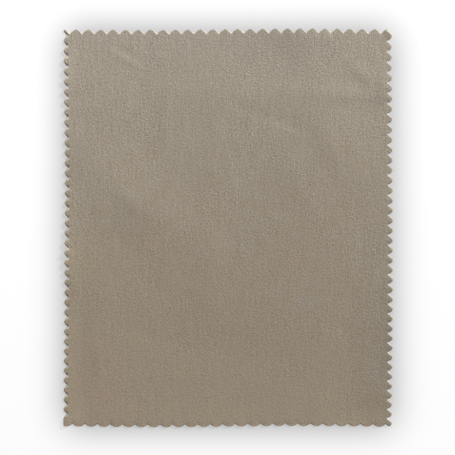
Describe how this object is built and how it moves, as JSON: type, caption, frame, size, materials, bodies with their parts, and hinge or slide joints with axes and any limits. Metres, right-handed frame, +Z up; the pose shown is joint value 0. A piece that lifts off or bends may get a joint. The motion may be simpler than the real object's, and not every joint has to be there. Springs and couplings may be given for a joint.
{
  "type": "lens cleaning cloth",
  "caption": "Rectangular microfibre lens cleaning cloth with pinked, zigzag-cut edges, lying almost flat in shallow ripples.",
  "frame": {"origin": "under the middle of the cloth, on the surface that it lies on", "axes": "+Z up out of the surface, +Y along the cloth's length towards the edge at the top of the picture, +X across its width"},
  "size_m": [0.1505, 0.1825, 0.0018],
  "materials": {
    "microfibre": "matt suede-finish microfibre in warm taupe, with a fine pebbled nap and paler cut edges"
  },
  "bodies": {
    "root": {"cleaning_cloth": "microfibre"}
  },
  "joints": []
}
